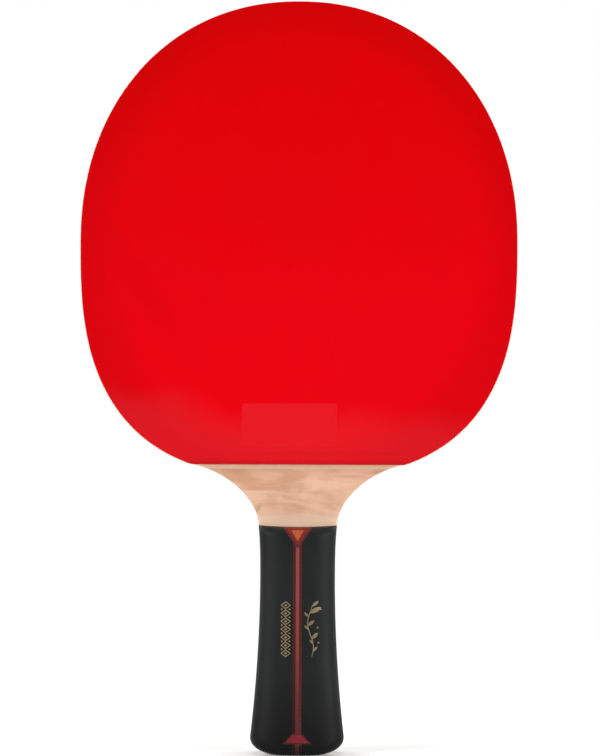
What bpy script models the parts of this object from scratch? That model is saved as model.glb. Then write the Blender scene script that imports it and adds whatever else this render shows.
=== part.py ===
"""Table tennis racket: a five-ply blade, a rubber on each side and a flared grip laminated from strips.

Metres, +Z up. The racket stands on its butt at the origin, its width along X and its thickness along Y, with
the red rubber towards -Y and the black one towards +Y. Everything on it is glued, so nothing moves.
"""

import math

import bmesh
import bpy
from mathutils import Vector

GLUE_LINE = 0.0001  # left free between two glued pieces
MERGE = 1e-7  # points closer than this are one
FLAT_CREASE, ROUND_CREASE = 30.0, 40.0  # degrees between faces past which an edge stays sharp

# Outline of the head, drawn round its centre: one superellipse above it and another below.
HEAD_CENTRE_Z = 0.1749
HEAD_HALF_WIDTH = 0.0750
HEAD_RISE, HEAD_RISE_POWER = 0.0829, 2.13
HEAD_DROP, HEAD_DROP_POWER = 0.0805, 2.72
HEAD_STEPS = 24  # in each quarter

# Concave throat between the head and the grip.
THROAT_BASE_Z = 0.0785
THROAT_RUN, THROAT_RISE, THROAT_POWER = 0.0270, 0.0210, 1.75
THROAT_STEPS = 10
SHOULDER_SEARCH, HALVINGS = 0.0012, 30  # where the throat may meet the head, below its own top

# Grip: half widths and half thicknesses at its top, its waist and its butt.
GRIP_TOP_Z = 0.0783
WAIST_Z = 0.060
WAIST_HALF_WIDTH = 0.0128
TOP_FLARE, TOP_FLARE_POWER = 0.00065, 3
BUTT_FLARE, BUTT_FLARE_POWER = 0.0040, 1.9
WAIST_HALF_DEPTH, BUTT_DEPTH_FLARE = 0.0108, 0.0016
SECTION_POWER = 2.7
BUTT_ROUND_WIDE, BUTT_ROUND_HIGH = 0.0102, 0.0062  # the corners seen from the front
BUTT_ROUND_DEEP, BUTT_ROUND_RISE = 0.0030, 0.0030  # the edges seen from the side
RAMP_FOOT, RAMP_LENGTH = 0.0036, 0.0032  # the grip's rounded step down to the blade
TOP_SAG, TOP_SAG_REACH = 0.0005, 0.0080  # its top edge dips in the middle
SECTION_STEPS = 9

# Blade: thickness of each ply.
CORE = 0.0028
CROSS = 0.0007
FACE = 0.0006
TANG_INSET = 0.00015  # the tang's sides, inside the grip's
BLADE_HALF = CORE / 2 + CROSS + FACE + 2 * GLUE_LINE
GLUED_FACE = BLADE_HALF + GLUE_LINE  # where the grip's sides and the sponges begin

# Rubbers: trimmed a little inside the blade and cut straight above the throat.
RUBBER_MARGIN = 0.00035
RUBBER_CUT_Z = 0.0991
SPONGE = 0.0020
TOPSHEET = 0.0017

# Strips between the two halves of each grip side.
CENTRE_STRIP = 0.0011
SIDE_STRIP = 0.0009

# Inlays let into the grip, as heights and half widths.
INLAY_DEPTH = 0.0008
TOP_INLAY_HALF, TOP_INLAY_TIP_Z = 0.0054, 0.0706
RIM_WIDTH = 0.0008
TOP_CORE_HALF = 0.0021
TOP_CORE_Z = (0.0732, 0.0769)
FOOT_INLAY_Z = (0.0041, 0.0077)
FOOT_INLAY_HALF = (0.0050, 0.0016)
PAST_TOP = 0.001  # how far the cutters run past the grip's top edge

WOOD_PALE = (0.78, 0.50, 0.30)
WOOD_CORE = (0.72, 0.47, 0.27)
WOOD_CROSS = (0.62, 0.38, 0.21)
SPONGE_CREAM = (0.86, 0.72, 0.42)
RUBBER_RED = (0.78, 0.002, 0.004)
RUBBER_BLACK = (0.012, 0.012, 0.013)
LACQUER_BLACK = (0.022, 0.025, 0.024)
STRIP_RED = (0.10, 0.015, 0.012)
STRIP_ROSE = (0.24, 0.060, 0.058)
INLAY_PLUM = (0.14, 0.035, 0.050)
INLAY_RED = (0.25, 0.010, 0.012)
INLAY_ORANGE = (0.50, 0.10, 0.035)


def clear_scene():
    for thing in list(bpy.data.objects):
        bpy.data.objects.remove(thing, do_unlink=True)


def material(name, colour, roughness, coat=0.0):
    made = bpy.data.materials.new(name)
    made.use_nodes = True
    shader = made.node_tree.nodes["Principled BSDF"]
    shader.inputs["Base Color"].default_value = (*colour, 1.0)
    shader.inputs["Roughness"].default_value = roughness
    shader.inputs["Metallic"].default_value = 0.0
    shader.inputs["Coat Weight"].default_value = coat
    made.diffuse_color = (*colour, 1.0)
    return made


def place(name, mesh, parent, finish=None, y=0.0):
    made = bpy.data.objects.new(name, mesh)
    made.parent = parent
    made.location.y = y
    bpy.context.collection.objects.link(made)
    if finish and not mesh.materials:
        mesh.materials.append(finish)
    return made


def empty(name, parent=None):
    return place(name, None, parent)


def smoothed(mesh, angle):
    mesh.shade_smooth()
    mesh.set_sharp_from_angle(angle=math.radians(angle))
    return mesh


def prism(name, outline, depth):
    """A flat outline of (x, z) points, as thick as depth and centred on Y."""
    shape = bmesh.new()
    corners = [shape.verts.new((x, -depth / 2, z)) for x, z in outline]
    cap = shape.faces.new(corners)
    swept = bmesh.ops.extrude_face_region(shape, geom=[cap])
    moved = [item for item in swept["geom"] if isinstance(item, bmesh.types.BMVert)]
    bmesh.ops.translate(shape, verts=moved, vec=Vector((0.0, depth, 0.0)))
    bmesh.ops.recalc_face_normals(shape, faces=shape.faces)
    mesh = bpy.data.meshes.new(name)
    shape.to_mesh(mesh)
    shape.free()
    return smoothed(mesh, FLAT_CREASE)


def thick_sheet(name, rows):
    """A closed body between rows of points and their feet on the blade's glued face."""
    shape = bmesh.new()
    upper = [[shape.verts.new(point) for point in row] for row in rows]
    lower = [[shape.verts.new((point.x, -GLUED_FACE, point.z)) for point in row] for row in rows]
    last_row, last = len(rows) - 1, len(rows[0]) - 1
    feet = []
    for r in range(last_row):
        for i in range(last):
            shape.faces.new((upper[r][i], upper[r][i + 1], upper[r + 1][i + 1], upper[r + 1][i]))
            foot = (lower[r][i], lower[r][i + 1], lower[r + 1][i + 1], lower[r + 1][i])
            feet.append(shape.faces.new(foot))
        for i in (0, last):
            shape.faces.new((upper[r][i], upper[r + 1][i], lower[r + 1][i], lower[r][i]))
    for r in (0, last_row):
        for i in range(last):
            shape.faces.new((upper[r][i], upper[r][i + 1], lower[r][i + 1], lower[r][i]))
    bmesh.ops.dissolve_faces(shape, faces=feet)
    bmesh.ops.remove_doubles(shape, verts=shape.verts, dist=MERGE)
    bmesh.ops.recalc_face_normals(shape, faces=shape.faces)
    mesh = bpy.data.meshes.new(name)
    shape.to_mesh(mesh)
    shape.free()
    return smoothed(mesh, ROUND_CREASE)


def fade(power, share):
    """Height of a superellipse of size 1 at a share of its width."""
    return max(0.0, 1.0 - min(1.0, share) ** power) ** (1.0 / power)


def head_point(angle, inset=0.0):
    """A point of the head's outline, as (x, z), seen from its centre at an angle from +X."""
    across, up = math.cos(angle), math.sin(angle)
    rise = HEAD_RISE if up > 0 else HEAD_DROP
    power = HEAD_RISE_POWER if up > 0 else HEAD_DROP_POWER
    terms = (abs(across) / (HEAD_HALF_WIDTH - inset)) ** power + (abs(up) / (rise - inset)) ** power
    reach = terms ** (-1.0 / power)
    return reach * across, HEAD_CENTRE_Z + reach * up


def head_half_width(z, inset=0.0):
    """Half the head's width at a height below its centre."""
    share = (HEAD_CENTRE_Z - z) / (HEAD_DROP - inset)
    return (HEAD_HALF_WIDTH - inset) * fade(HEAD_DROP_POWER, share)


def throat_half_width(z):
    neck = grip_half_width(GRIP_TOP_Z)
    return neck + THROAT_RUN * (1.0 - fade(THROAT_POWER, (z - THROAT_BASE_Z) / THROAT_RISE))


def shoulder_z():
    """Height at which the throat's curve runs into the head's, found by halving."""
    high = THROAT_BASE_Z + THROAT_RISE
    low = high - SHOULDER_SEARCH
    for _ in range(HALVINGS):
        middle = (low + high) / 2
        if throat_half_width(middle) < head_half_width(middle):
            low = middle
        else:
            high = middle
    return low


def grip_half_width(z):
    """Half the grip's width, rounded off at the butt."""
    if z > WAIST_Z:
        width = WAIST_HALF_WIDTH + TOP_FLARE * ((z - WAIST_Z) / (GRIP_TOP_Z - WAIST_Z)) ** TOP_FLARE_POWER
    else:
        width = WAIST_HALF_WIDTH + BUTT_FLARE * ((WAIST_Z - z) / WAIST_Z) ** BUTT_FLARE_POWER
    below = max(0.0, 1.0 - z / BUTT_ROUND_HIGH)
    return width - BUTT_ROUND_WIDE * (1.0 - fade(2, below))


def grip_height(z):
    """How far the grip stands out from the blade's face at its middle."""
    depth = WAIST_HALF_DEPTH - GLUED_FACE
    if z < WAIST_Z:
        depth += BUTT_DEPTH_FLARE * ((WAIST_Z - z) / WAIST_Z) ** BUTT_FLARE_POWER
    below = max(0.0, 1.0 - z / BUTT_ROUND_RISE)
    depth -= BUTT_ROUND_DEEP * (1.0 - fade(2, below))
    above = max(0.0, 1.0 - (GRIP_TOP_Z - z) / RAMP_LENGTH)
    return RAMP_FOOT + (depth - RAMP_FOOT) * fade(2, above)


def eased(low, high, steps):
    """Heights from low to high, closest together near low."""
    return [high - (high - low) * math.sin(math.pi / 2 * i / steps) for i in range(steps, -1, -1)]


def grip_stations():
    """The heights of the grip's sections, closest together on its rounded ends."""
    butt = eased(0.0, BUTT_ROUND_HIGH, 6)
    top = [GRIP_TOP_Z - z for z in eased(0.0, RAMP_LENGTH, 5)]
    middle_steps = 9
    run = top[-1] - butt[-1]
    middle = [butt[-1] + run * i / middle_steps for i in range(1, middle_steps)]
    return butt + middle + top[::-1]


def section_point(across, z, sink=0.0):
    """A point on the grip's front surface, or sunk under it, at a distance from its middle."""
    half = grip_half_width(z)
    height = max(0.0, (grip_height(z) - sink) * fade(SECTION_POWER, abs(across) / half))
    near_top = max(0.0, 1.0 - (GRIP_TOP_Z - z) / TOP_SAG_REACH)
    sag = TOP_SAG * near_top * (1.0 - (across / half) ** 2)
    return Vector((across, -GLUED_FACE - height, z - sag))


def grip_rows(inner, outer=None, sink=0.0):
    """Rows of surface points between two distances from the middle; outer is the side if left out."""
    rows = []
    for z in grip_stations():
        if outer is None:
            turns = [math.pi / 2 * i / SECTION_STEPS for i in range(SECTION_STEPS + 1)]
            places = [inner + (grip_half_width(z) - inner) * math.sin(turn) for turn in turns]
        else:
            places = [inner, (inner + outer) / 2, outer]
        rows.append([section_point(across, z, sink) for across in places])
    return rows


def mirrored(rows):
    return [[Vector((-point.x, point.y, point.z)) for point in row] for row in rows]


def whole_form(name, sink=0.0):
    """The grip side as one solid, used only for cutting. A sunk one runs on past the top."""
    right = grip_rows(0.0, None, sink)
    rows = [[*left[:0:-1], *row] for left, row in zip(mirrored(right), right)]
    if sink:
        rows.append([point + Vector((0.0, 0.0, 2 * PAST_TOP)) for point in rows[-1]])
    return thick_sheet(name, rows)


def cutter(name, mesh, parent):
    made = place(name, mesh, parent)
    made.hide_render = True
    made.display_type = "WIRE"
    return made


def cut(thing, tool, operation="DIFFERENCE"):
    step = thing.modifiers.new(tool.name, "BOOLEAN")
    step.operation = operation
    step.solver = "EXACT"
    step.object = tool


def wedge(half, top, tip):
    """An upside-down triangle, half its width at the top, from the top down to its tip."""
    return [(-half, top), (0.0, tip), (half, top)]


def band(outer, inner):
    """A V-shaped outline between two triangles that share their top."""
    return [outer[0], outer[1], outer[2], inner[2], inner[1], inner[0]]


def core_outline(gap):
    """The middle of the top inlay, moved out by a gap all round."""
    tip, top = TOP_CORE_Z
    slope = TOP_CORE_HALF / (top - tip)
    tip -= gap * math.hypot(1.0, slope) / slope
    top += gap
    return wedge(slope * (top - tip), top, tip)


def foot_outline(gap):
    """The trapezoid at the foot, moved out by a gap all round."""
    low, high = FOOT_INLAY_Z
    base, crown = FOOT_INLAY_HALF
    slope = (base - crown) / (high - low)
    slant = gap * math.hypot(1.0, slope)
    base += slant + slope * gap
    crown += slant - slope * gap
    return [(-base, low - gap), (base, low - gap), (crown, high + gap), (-crown, high + gap)]


def inlay_outlines():
    """The inlays of one grip side, by name, and the recesses they sit in."""
    top = GRIP_TOP_Z + PAST_TOP
    slope = (top - TOP_INLAY_TIP_Z) / (GRIP_TOP_Z - TOP_INLAY_TIP_Z)
    steepness = math.hypot(TOP_INLAY_HALF, GRIP_TOP_Z - TOP_INLAY_TIP_Z) / TOP_INLAY_HALF

    def nested(inside):
        """The triangle that lies a distance inside the outer one."""
        tip = TOP_INLAY_TIP_Z + inside * steepness
        half = TOP_INLAY_HALF * slope * (top - tip) / (top - TOP_INLAY_TIP_Z)
        return wedge(half, top, tip)

    pieces = {
        "top_inlay_rim": band(nested(0.0), nested(RIM_WIDTH)),
        "top_inlay_body": nested(RIM_WIDTH + GLUE_LINE),
        "top_inlay_core": core_outline(0.0),
        "foot_inlay": foot_outline(0.0),
    }
    recesses = {"top_recess": nested(-GLUE_LINE), "foot_recess": foot_outline(GLUE_LINE)}
    return pieces, recesses


def blade_outline():
    """The whole blade, clockwise from the top of the head."""
    shoulder = shoulder_z()
    shoulder_angle = math.atan2(shoulder - HEAD_CENTRE_Z, head_half_width(shoulder))
    right = []
    for i in range(HEAD_STEPS):
        right.append(head_point(math.pi / 2 * (1.0 - i / HEAD_STEPS)))
    for i in range(HEAD_STEPS):
        right.append(head_point(shoulder_angle * i / HEAD_STEPS))
    for drop in eased(0.0, shoulder - THROAT_BASE_Z, THROAT_STEPS):
        right.append((throat_half_width(shoulder - drop), shoulder - drop))
    for z in grip_stations()[::-1]:
        right.append((grip_half_width(z) - TANG_INSET, z))
    left = [(-x, z) for x, z in reversed(right[1:])]
    return right + left


def rubber_outline():
    """One sheet of rubber, trimmed inside the head and cut straight above the throat."""
    corner = head_half_width(RUBBER_CUT_Z, RUBBER_MARGIN)
    end = math.atan2(RUBBER_CUT_Z - HEAD_CENTRE_Z, corner)
    right = []
    for i in range(HEAD_STEPS):
        right.append(head_point(math.pi / 2 * (1.0 - i / HEAD_STEPS), RUBBER_MARGIN))
    for i in range(HEAD_STEPS + 1):
        right.append(head_point(end * i / HEAD_STEPS, RUBBER_MARGIN))
    left = [(-x, z) for x, z in reversed(right[1:])]
    return right + left


def build_blade(root):
    outline = blade_outline()
    core = material("core_wood", WOOD_CORE, 0.6)
    cross = material("cross_wood", WOOD_CROSS, 0.6)
    face = material("face_wood", WOOD_PALE, 0.5)
    place("core_ply", prism("core_ply", outline, CORE), root, core)
    cross_mesh = prism("cross_ply", outline, CROSS)
    face_mesh = prism("face_ply", outline, FACE)
    cross_y = CORE / 2 + GLUE_LINE + CROSS / 2
    face_y = BLADE_HALF - FACE / 2
    for side, sign in (("front", -1), ("back", 1)):
        place("cross_ply_" + side, cross_mesh, root, cross, sign * cross_y)
        place("face_ply_" + side, face_mesh, root, face, sign * face_y)


def build_rubbers(root):
    outline = rubber_outline()
    foam = material("sponge", SPONGE_CREAM, 0.9)
    sponge_mesh = prism("sponge", outline, SPONGE)
    sponge_y = GLUED_FACE + SPONGE / 2
    sheet_y = GLUED_FACE + SPONGE + GLUE_LINE + TOPSHEET / 2
    for side, sign, colour in (("front", -1, RUBBER_RED), ("back", 1, RUBBER_BLACK)):
        place("sponge_" + side, sponge_mesh, root, foam, sign * sponge_y)
        skin = material("rubber_" + side, colour, 0.35)
        place("topsheet_" + side, prism("topsheet_" + side, outline, TOPSHEET), root, skin, sign * sheet_y)


def build_grip(root, side, turn, finishes):
    """One side of the grip in its own empty, which is turned half round for the back."""
    frame = empty("grip_" + side, root)
    frame.rotation_euler.z = turn
    form = cutter("form_" + side, whole_form("grip_form"), frame)
    under = cutter("under_" + side, whole_form("grip_under", INLAY_DEPTH), frame)
    floor = cutter("floor_" + side, whole_form("grip_floor", INLAY_DEPTH + GLUE_LINE), frame)
    reach = 4 * WAIST_HALF_DEPTH
    pieces, recesses = inlay_outlines()
    pockets = []
    for name, outline in recesses.items():
        pocket = cutter(name + "_" + side, prism(name, outline, reach), frame)
        cut(pocket, floor)
        pockets.append(pocket)
    core_hole = cutter("core_hole_" + side, prism("core_hole", core_outline(GLUE_LINE), reach), frame)

    strip_edge = CENTRE_STRIP / 2 + GLUE_LINE
    slab_edge = strip_edge + SIDE_STRIP + GLUE_LINE
    slab = grip_rows(slab_edge)
    strip = grip_rows(strip_edge, strip_edge + SIDE_STRIP)
    centre = grip_rows(-CENTRE_STRIP / 2, CENTRE_STRIP / 2)
    laminations = (
        ("grip_slab_left_", mirrored(slab), "lacquer"),
        ("strip_left_", mirrored(strip), "strip_red"),
        ("strip_centre_", centre, "strip_rose"),
        ("strip_right_", strip, "strip_red"),
        ("grip_slab_right_", slab, "lacquer"),
    )
    for name, rows, finish in laminations:
        piece = place(name + side, thick_sheet(name + side, rows), frame, finishes[finish])
        for pocket in pockets:
            cut(piece, pocket)
    for name, outline in pieces.items():
        piece = place(name + "_" + side, prism(name, outline, reach), frame, finishes[name])
        cut(piece, form, "INTERSECT")
        cut(piece, under)
        if name == "top_inlay_body":
            cut(piece, core_hole)


def main():
    clear_scene()
    root = empty("racket")
    build_blade(root)
    build_rubbers(root)
    finishes = {
        "lacquer": material("black_lacquer", LACQUER_BLACK, 0.4, 0.3),
        "strip_red": material("strip_red", STRIP_RED, 0.4, 0.3),
        "strip_rose": material("strip_rose", STRIP_ROSE, 0.4, 0.3),
        "top_inlay_rim": material("inlay_plum", INLAY_PLUM, 0.4, 0.3),
        "top_inlay_body": material("inlay_red", INLAY_RED, 0.4, 0.3),
        "top_inlay_core": material("inlay_orange", INLAY_ORANGE, 0.4, 0.3),
        "foot_inlay": material("foot_red", INLAY_RED, 0.4, 0.3),
    }
    build_grip(root, "front", 0.0, finishes)
    build_grip(root, "back", math.pi, finishes)


main()
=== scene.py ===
import math

import bmesh
import bpy
from mathutils import Matrix, Vector, noise


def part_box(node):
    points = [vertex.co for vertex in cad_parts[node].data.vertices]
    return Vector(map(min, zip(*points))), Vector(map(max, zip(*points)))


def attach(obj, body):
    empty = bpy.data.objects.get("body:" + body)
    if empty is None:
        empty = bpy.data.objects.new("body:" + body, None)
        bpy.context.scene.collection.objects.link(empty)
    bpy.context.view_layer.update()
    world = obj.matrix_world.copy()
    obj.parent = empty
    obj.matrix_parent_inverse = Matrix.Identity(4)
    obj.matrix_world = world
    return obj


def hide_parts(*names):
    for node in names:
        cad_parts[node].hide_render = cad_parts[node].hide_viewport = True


# Looks of the table tennis racket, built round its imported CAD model. Metres, in the CAD's own frame: the
# racket stands on its butt at the origin, its red side towards -Y. Shapes are made for the red side, and
# turned half round for the black one.

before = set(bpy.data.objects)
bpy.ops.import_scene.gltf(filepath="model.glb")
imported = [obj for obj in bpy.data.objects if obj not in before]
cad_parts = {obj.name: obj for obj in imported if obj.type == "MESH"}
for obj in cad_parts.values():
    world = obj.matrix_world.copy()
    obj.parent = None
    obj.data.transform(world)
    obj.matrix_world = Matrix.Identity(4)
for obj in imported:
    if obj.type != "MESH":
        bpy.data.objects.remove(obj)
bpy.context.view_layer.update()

# The outlines of the CAD model, restated: its meshes can't be refined, only replaced.
HEAD_CENTRE_Z = 0.1749
HEAD_HALF_WIDTH = 0.0750
HEAD_RISE, HEAD_RISE_POWER = 0.0829, 2.13
HEAD_DROP, HEAD_DROP_POWER = 0.0805, 2.72
THROAT_BASE_Z = 0.0785
THROAT_RUN, THROAT_RISE, THROAT_POWER = 0.0270, 0.0210, 1.75
SHOULDER_SEARCH, HALVINGS = 0.0012, 30
GRIP_TOP_Z = 0.0783
WAIST_Z = 0.060
WAIST_HALF_WIDTH = 0.0128
TOP_FLARE, TOP_FLARE_POWER = 0.00065, 3
BUTT_FLARE, BUTT_FLARE_POWER = 0.0040, 1.9
WAIST_HALF_DEPTH, BUTT_DEPTH_FLARE = 0.0108, 0.0016
SECTION_POWER = 2.7
BUTT_ROUND_WIDE, BUTT_ROUND_HIGH = 0.0102, 0.0062
BUTT_ROUND_DEEP, BUTT_ROUND_RISE = 0.0030, 0.0030
RAMP_FOOT, RAMP_LENGTH = 0.0036, 0.0032
TOP_SAG, TOP_SAG_REACH = 0.0005, 0.0080
TANG_INSET = 0.00015
GLUED_FACE = 0.0030
RUBBER_MARGIN, RUBBER_CUT_Z = 0.00035, 0.0991
CENTRE_STRIP, SIDE_STRIP = 0.0011, 0.0009
INLAY_DEPTH = 0.0008
TOP_INLAY_HALF, TOP_INLAY_TIP_Z = 0.0054, 0.0706
RIM_WIDTH = 0.0008
TOP_CORE_HALF, TOP_CORE_Z = 0.0021, (0.0732, 0.0769)
FOOT_INLAY_Z = (0.0041, 0.0077)
FOOT_INLAY_HALF = (0.0050, 0.0016)
PAST_TOP = 0.001

JOINT = 0.00002  # the hairline left between two glued pieces
FOOT_RIM = 0.0005  # width of the foot inlay's rim
FOOT_REACH = 0.00008  # how far the grip's pieces close the gap to the blade
OUTLINE_STEPS = 120  # points in each quarter of the head, before they are spaced out evenly
PLY_PITCH, RUBBER_PITCH = 0.0008, 0.0005  # between the points of the blade's outline and the rubber's
BUTT_STEPS, MIDDLE_STEPS, TOP_STEPS = 14, 34, 12  # sections along the grip
SLAB_STEPS, STRIP_STEPS = 26, 4  # points across a slab of the grip, and across a strip
EDGE_STEPS = 3  # in each rounding of a flat body's edge
CORNER_LIMIT = 0.3  # keeps a sharp corner from shooting out when an outline moves inwards
SHARP = 38.0  # degrees between faces past which an edge stays sharp
MERGE = 1e-7  # points closer than this are one


# ---------------------------------------------------------------- outlines

def fade(power, share):
    """Height of a superellipse of size 1 at a share of its width."""
    return max(0.0, 1.0 - min(1.0, share) ** power) ** (1.0 / power)


def head_point(angle, inset=0.0):
    """The point of the head's outline at an angle round its centre, moved in by an inset."""
    across, up = math.cos(angle), math.sin(angle)
    rise = HEAD_RISE if up > 0 else HEAD_DROP
    power = HEAD_RISE_POWER if up > 0 else HEAD_DROP_POWER
    terms = (abs(across) / (HEAD_HALF_WIDTH - inset)) ** power + (abs(up) / (rise - inset)) ** power
    reach = terms ** (-1.0 / power)
    return reach * across, HEAD_CENTRE_Z + reach * up


def head_half_width(z, inset=0.0):
    return (HEAD_HALF_WIDTH - inset) * fade(HEAD_DROP_POWER, (HEAD_CENTRE_Z - z) / (HEAD_DROP - inset))


def throat_half_width(z):
    neck = grip_half_width(GRIP_TOP_Z)
    return neck + THROAT_RUN * (1.0 - fade(THROAT_POWER, (z - THROAT_BASE_Z) / THROAT_RISE))


def shoulder_z():
    """Height at which the throat's curve runs into the head's."""
    high = THROAT_BASE_Z + THROAT_RISE
    low = high - SHOULDER_SEARCH
    for _ in range(HALVINGS):
        middle = (low + high) / 2
        if throat_half_width(middle) < head_half_width(middle):
            low = middle
        else:
            high = middle
    return low


def grip_half_width(z):
    if z > WAIST_Z:
        width = WAIST_HALF_WIDTH + TOP_FLARE * ((z - WAIST_Z) / (GRIP_TOP_Z - WAIST_Z)) ** TOP_FLARE_POWER
    else:
        width = WAIST_HALF_WIDTH + BUTT_FLARE * ((WAIST_Z - z) / WAIST_Z) ** BUTT_FLARE_POWER
    below = max(0.0, 1.0 - z / BUTT_ROUND_HIGH)
    return width - BUTT_ROUND_WIDE * (1.0 - fade(2, below))


def grip_height(z):
    """How far the grip stands out from the blade's face at its middle."""
    depth = WAIST_HALF_DEPTH - GLUED_FACE
    if z < WAIST_Z:
        depth += BUTT_DEPTH_FLARE * ((WAIST_Z - z) / WAIST_Z) ** BUTT_FLARE_POWER
    below = max(0.0, 1.0 - z / BUTT_ROUND_RISE)
    depth -= BUTT_ROUND_DEEP * (1.0 - fade(2, below))
    above = max(0.0, 1.0 - (GRIP_TOP_Z - z) / RAMP_LENGTH)
    return RAMP_FOOT + (depth - RAMP_FOOT) * fade(2, above)


def section_point(across, z, sink=0.0):
    """A point of the grip's surface, or sunk under it, at a distance from its middle."""
    half = grip_half_width(z)
    height = max(0.0, (grip_height(z) - sink) * fade(SECTION_POWER, abs(across) / half))
    near_top = max(0.0, 1.0 - (GRIP_TOP_Z - z) / TOP_SAG_REACH)
    sag = TOP_SAG * near_top * (1.0 - (across / half) ** 2)
    return Vector((across, -GLUED_FACE - height, z - sag))


def eased(low, high, steps):
    """Values from low to high, closest together near low."""
    return [high - (high - low) * math.sin(math.pi / 2 * i / steps) for i in range(steps, -1, -1)]


def grip_stations():
    """The heights of the grip's sections, closest together on its rounded ends."""
    butt = eased(0.0, BUTT_ROUND_HIGH, BUTT_STEPS)
    top = [GRIP_TOP_Z - z for z in eased(0.0, RAMP_LENGTH, TOP_STEPS)]
    run = top[-1] - butt[-1]
    middle = [butt[-1] + run * i / MIDDLE_STEPS for i in range(1, MIDDLE_STEPS)]
    return butt + middle + top[::-1]


def walked(outline, pitch):
    """A closed outline again, in equal steps of about pitch."""
    ends = outline[1:] + outline[:1]
    lengths = [math.dist(a, b) for a, b in zip(outline, ends)]
    total = sum(lengths)
    count = round(total / pitch)
    points, passed, i = [], 0.0, 0
    for step in range(count):
        goal = total * step / count
        while i < len(outline) - 1 and passed + lengths[i] < goal:
            passed += lengths[i]
            i += 1
        share = (goal - passed) / lengths[i]
        (ax, az), (bx, bz) = outline[i], ends[i]
        points.append((ax + (bx - ax) * share, az + (bz - az) * share))
    return points


def both_sides(right):
    """A clockwise outline from its right half; points on the middle line are not repeated."""
    return right + [(-x, z) for x, z in reversed(right) if x > 0.0]


def blade_outline():
    """The whole blade with its tang, clockwise from the top of the head."""
    shoulder = shoulder_z()
    end = math.atan2(shoulder - HEAD_CENTRE_Z, head_half_width(shoulder))
    right = [head_point(math.pi / 2 * (1.0 - i / OUTLINE_STEPS)) for i in range(OUTLINE_STEPS)]
    right[0] = (0.0, right[0][1])
    right += [head_point(end * i / OUTLINE_STEPS) for i in range(OUTLINE_STEPS)]
    drops = eased(0.0, shoulder - THROAT_BASE_Z, OUTLINE_STEPS)
    right += [(throat_half_width(shoulder - drop), shoulder - drop) for drop in drops]
    right += [(grip_half_width(z) - TANG_INSET, z) for z in grip_stations()[::-1]]
    return walked(both_sides(right), PLY_PITCH)


def rubber_outline():
    """One sheet of rubber, trimmed inside the head and cut straight above the throat."""
    corner = head_half_width(RUBBER_CUT_Z, RUBBER_MARGIN)
    end = math.atan2(RUBBER_CUT_Z - HEAD_CENTRE_Z, corner)
    turns = [math.pi / 2 * (1.0 - i / OUTLINE_STEPS) for i in range(OUTLINE_STEPS)]
    right = [head_point(turn, RUBBER_MARGIN) for turn in turns]
    right[0] = (0.0, right[0][1])
    right += [head_point(end * i / OUTLINE_STEPS, RUBBER_MARGIN) for i in range(OUTLINE_STEPS + 1)]
    return walked(both_sides(right), RUBBER_PITCH)


def inward(outline, distances):
    """A clockwise outline moved inwards, by its own distance at each point."""
    moved = []
    count = len(outline)
    for i, (x, z) in enumerate(outline):
        normals = []
        for (ax, az), (bx, bz) in ((outline[i - 1], (x, z)), ((x, z), outline[(i + 1) % count])):
            length = math.hypot(bx - ax, bz - az)
            normals.append(((bz - az) / length, (ax - bx) / length))
        (mx, mz), (nx, nz) = normals
        scale = distances[i] / max(CORNER_LIMIT, 1.0 + mx * nx + mz * nz)
        moved.append((x + (mx + nx) * scale, z + (mz + nz) * scale))
    return moved


# ---------------------------------------------------------------- meshes

def finished(name, shape, sharp=SHARP):
    """A mesh from a bmesh, with its normals outwards and its creases sharp."""
    bmesh.ops.recalc_face_normals(shape, faces=shape.faces)
    mesh = bpy.data.meshes.new(name)
    shape.to_mesh(mesh)
    shape.free()
    mesh.shade_smooth()
    mesh.set_sharp_from_angle(angle=math.radians(sharp))
    return mesh


def ringed(name, rings, sharp=SHARP):
    """A closed body through rings of equally many points, capped at its two ends."""
    shape = bmesh.new()
    loops = [[shape.verts.new(point) for point in ring] for ring in rings]
    count = len(loops[0])
    for lower, upper in zip(loops, loops[1:]):
        for i in range(count):
            j = (i + 1) % count
            shape.faces.new((lower[i], lower[j], upper[j], upper[i]))
    shape.faces.new(loops[0])
    shape.faces.new(loops[-1])
    return finished(name, shape, sharp)


def rounded_edges(y_out, y_in, radius_out, radius_in, support):
    """The edge of a flat body as (inset, y) pairs, from its outer face to its inner one.

    Support is how far inside each rounding one more ring of points lies.
    """
    angles = [math.pi / 2 * i / EDGE_STEPS for i in range(EDGE_STEPS + 1)]
    pairs = [(radius_out + support, y_out)]
    for angle in angles:
        pairs.append((radius_out * (1 - math.sin(angle)), y_out + radius_out * (1 - math.cos(angle))))
    for angle in reversed(angles):
        pairs.append((radius_in * (1 - math.sin(angle)), y_in - radius_in * (1 - math.cos(angle))))
    pairs.append((radius_in + support, y_in))
    return pairs


def edged(name, outline, pairs, waver, grain):
    """A flat body whose edge follows (inset, y) pairs, and wavers a little, as cut by hand.

    Waver is how far it strays, and grain how many ripples there are to the metre.
    """
    rings = []
    for inset, y in pairs:
        shifts = [inset + waver * (1 + noise.noise(Vector((x, y, z)) * grain)) for x, z in outline]
        rings.append([(x, y, z) for x, z in inward(outline, shifts)])
    return ringed(name, rings)


def grip_rows(inner, outer=None, sink=0.0):
    """Rows of surface points between two distances from the middle; outer is the side if left out."""
    rows = []
    for z in grip_stations():
        if outer is None:
            reach = grip_half_width(z) - inner
            turns = [math.pi / 2 * i / SLAB_STEPS for i in range(SLAB_STEPS + 1)]
            places = [inner + reach * math.sin(turn) for turn in turns]
        else:
            places = [inner + (outer - inner) * i / STRIP_STEPS for i in range(STRIP_STEPS + 1)]
        rows.append([section_point(across, z, sink) for across in places])
    return rows


def mirrored(rows):
    return [[Vector((-point.x, point.y, point.z)) for point in row] for row in rows]


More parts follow.
